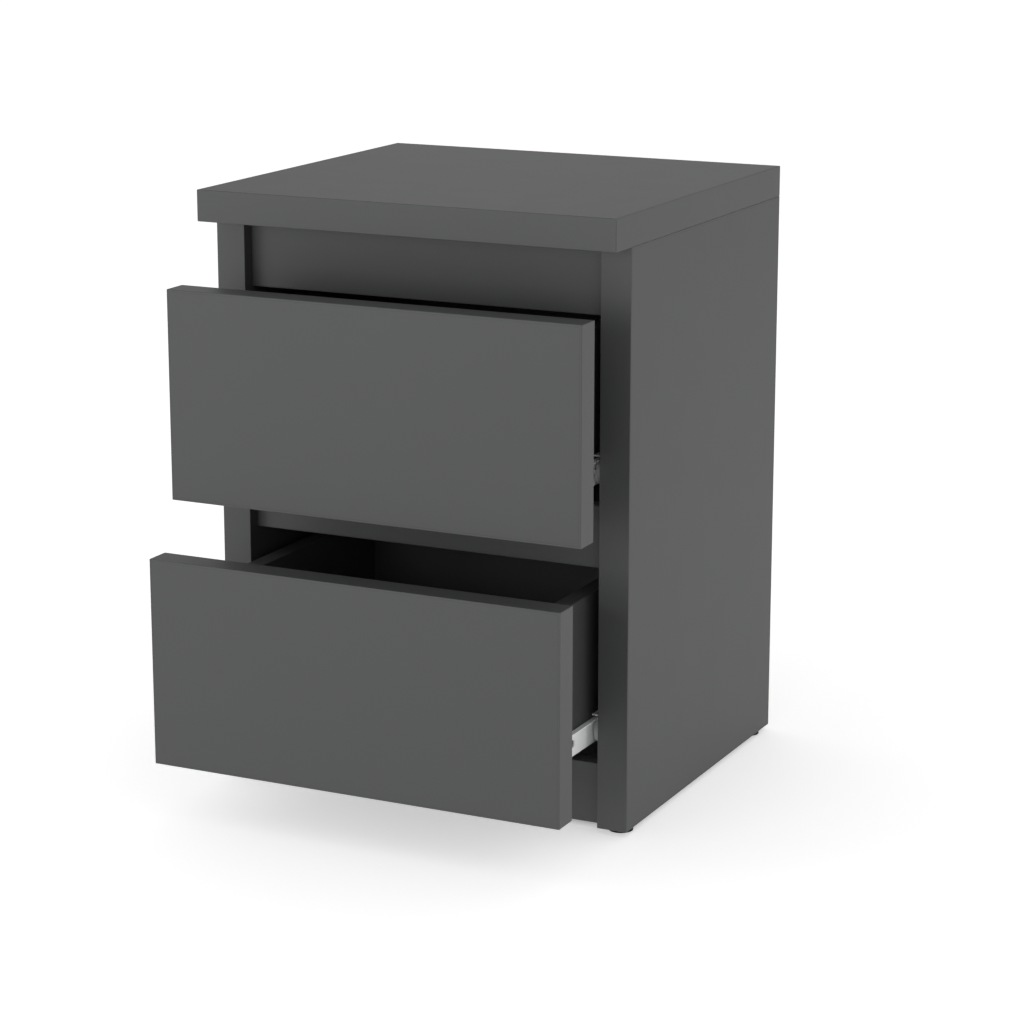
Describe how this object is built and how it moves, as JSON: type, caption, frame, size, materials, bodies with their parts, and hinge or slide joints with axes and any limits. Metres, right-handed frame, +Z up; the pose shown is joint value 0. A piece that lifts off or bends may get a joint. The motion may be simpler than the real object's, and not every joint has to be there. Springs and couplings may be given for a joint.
{
  "type": "nightstand with drawers",
  "caption": "Graphite board nightstand: overhanging thick top, plain side panels, slab-fronted drawers with finger gaps above them, on roller runners.",
  "frame": {"origin": "on the floor, in the middle of the footprint that the cabinet covers with both drawers pulled out as far as they stand at rest", "axes": "+Z up, +X to the right of someone facing the drawers, -Y the way the drawers pull out"},
  "size_m": [0.4, 0.47, 0.545],
  "materials": {
    "graphite_board": "graphite melamine-faced chipboard with matching edging, matte",
    "graphite_hardboard": "graphite lacquered hardboard, matte",
    "runner_enamel": "white baked enamel on bent steel sheet, satin",
    "runner_plastic": "off-white moulded nylon",
    "cast_zinc": "bare zinc die casting",
    "zinc_steel": "bright zinc-plated steel",
    "beech": "fluted raw beech",
    "black_plastic": "black moulded polyethylene"
  },
  "bodies": {
    "carcass": {"top_panel": "graphite_board", "left_side_panel": "graphite_board", "right_side_panel": "graphite_board", "top_rail": "graphite_board", "middle_rail": "graphite_board", "plinth_rail": "graphite_board", "rear_rail": "graphite_board", "back_panel": "graphite_hardboard", "back_panel_nails": "zinc_steel", "cabinet_cams": "cast_zinc", "cabinet_cam_bolts": "zinc_steel", "cabinet_dowels": "beech", "front_left_glide": "black_plastic", "front_right_glide": "black_plastic", "rear_left_glide": "black_plastic", "rear_right_glide": "black_plastic", "glide_nails": "zinc_steel", "front_axles": "zinc_steel", "cabinet_profile_screws": "zinc_steel", "upper_left_cabinet_profile": "runner_enamel", "upper_right_cabinet_profile": "runner_enamel", "lower_left_cabinet_profile": "runner_enamel", "lower_right_cabinet_profile": "runner_enamel"},
    "upper_drawer": {"upper_front": "graphite_board", "upper_box_left_side": "graphite_board", "upper_box_right_side": "graphite_board", "upper_box_back": "graphite_board", "upper_box_floor": "graphite_hardboard", "upper_left_drawer_profile": "runner_enamel", "upper_right_drawer_profile": "runner_enamel", "upper_box_cams": "cast_zinc", "upper_box_cam_bolts": "zinc_steel", "upper_box_dowels": "beech", "upper_box_corner_screws": "zinc_steel", "upper_drawer_profile_screws": "zinc_steel", "upper_box_floor_nails": "zinc_steel", "upper_rear_axles": "zinc_steel"},
    "lower_drawer": {"lower_front": "graphite_board", "lower_box_left_side": "graphite_board", "lower_box_right_side": "graphite_board", "lower_box_back": "graphite_board", "lower_box_floor": "graphite_hardboard", "lower_left_drawer_profile": "runner_enamel", "lower_right_drawer_profile": "runner_enamel", "lower_box_cams": "cast_zinc", "lower_box_cam_bolts": "zinc_steel", "lower_box_dowels": "beech", "lower_box_corner_screws": "zinc_steel", "lower_drawer_profile_screws": "zinc_steel", "lower_box_floor_nails": "zinc_steel", "lower_rear_axles": "zinc_steel"},
    "upper_left_front_roller": {"upper_left_front_wheel": "runner_plastic"},
    "upper_left_rear_roller": {"upper_left_rear_wheel": "runner_plastic"},
    "upper_right_front_roller": {"upper_right_front_wheel": "runner_plastic"},
    "upper_right_rear_roller": {"upper_right_rear_wheel": "runner_plastic"},
    "lower_left_front_roller": {"lower_left_front_wheel": "runner_plastic"},
    "lower_left_rear_roller": {"lower_left_rear_wheel": "runner_plastic"},
    "lower_right_front_roller": {"lower_right_front_wheel": "runner_plastic"},
    "lower_right_rear_roller": {"lower_right_rear_wheel": "runner_plastic"}
  },
  "joints": [
    {"name": "upper_drawer_slide", "type": "slide", "parent": "carcass", "child": "upper_drawer", "axis": [0, -1, 0], "range_m": [-0.0635, 0.1615]},
    {"name": "upper_left_front_roller_spin", "type": "hinge", "parent": "carcass", "child": "upper_left_front_roller", "pos_m": [-0.1657, -0.079, 0.3178], "axis": [1, 0, 0], "range_deg": [-333, 844]},
    {"name": "upper_left_rear_roller_spin", "type": "hinge", "parent": "upper_drawer", "child": "upper_left_rear_roller", "pos_m": [-0.1642, 0.1175, 0.3235], "axis": [1, 0, 0], "range_deg": [-366, 928]},
    {"name": "upper_right_front_roller_spin", "type": "hinge", "parent": "carcass", "child": "upper_right_front_roller", "pos_m": [0.1657, -0.079, 0.3178], "axis": [1, 0, 0], "range_deg": [-333, 844]},
    {"name": "upper_right_rear_roller_spin", "type": "hinge", "parent": "upper_drawer", "child": "upper_right_rear_roller", "pos_m": [0.1642, 0.1175, 0.3235], "axis": [1, 0, 0], "range_deg": [-366, 928]},
    {"name": "lower_drawer_slide", "type": "slide", "parent": "carcass", "child": "lower_drawer", "axis": [0, -1, 0], "range_m": [-0.103, 0.122]},
    {"name": "lower_left_front_roller_spin", "type": "hinge", "parent": "carcass", "child": "lower_left_front_roller", "pos_m": [-0.1657, -0.079, 0.0873], "axis": [1, 0, 0], "range_deg": [-539, 638]},
    {"name": "lower_left_rear_roller_spin", "type": "hinge", "parent": "lower_drawer", "child": "lower_left_rear_roller", "pos_m": [-0.1642, 0.078, 0.093], "axis": [1, 0, 0], "range_deg": [-593, 702]},
    {"name": "lower_right_front_roller_spin", "type": "hinge", "parent": "carcass", "child": "lower_right_front_roller", "pos_m": [0.1657, -0.079, 0.0873], "axis": [1, 0, 0], "range_deg": [-539, 638]},
    {"name": "lower_right_rear_roller_spin", "type": "hinge", "parent": "lower_drawer", "child": "lower_right_rear_roller", "pos_m": [0.1642, 0.078, 0.093], "axis": [1, 0, 0], "range_deg": [-593, 702]}
  ],
  "couplings": [
    {"joint": "upper_left_front_roller_spin", "follows": "upper_drawer_slide", "rad_per_m": 90.909},
    {"joint": "upper_left_rear_roller_spin", "follows": "upper_drawer_slide", "rad_per_m": 100},
    {"joint": "upper_right_front_roller_spin", "follows": "upper_drawer_slide", "rad_per_m": 90.909},
    {"joint": "upper_right_rear_roller_spin", "follows": "upper_drawer_slide", "rad_per_m": 100},
    {"joint": "lower_left_front_roller_spin", "follows": "lower_drawer_slide", "rad_per_m": 90.909},
    {"joint": "lower_left_rear_roller_spin", "follows": "lower_drawer_slide", "rad_per_m": 100},
    {"joint": "lower_right_front_roller_spin", "follows": "lower_drawer_slide", "rad_per_m": 90.909},
    {"joint": "lower_right_rear_roller_spin", "follows": "lower_drawer_slide", "rad_per_m": 100}
  ]
}
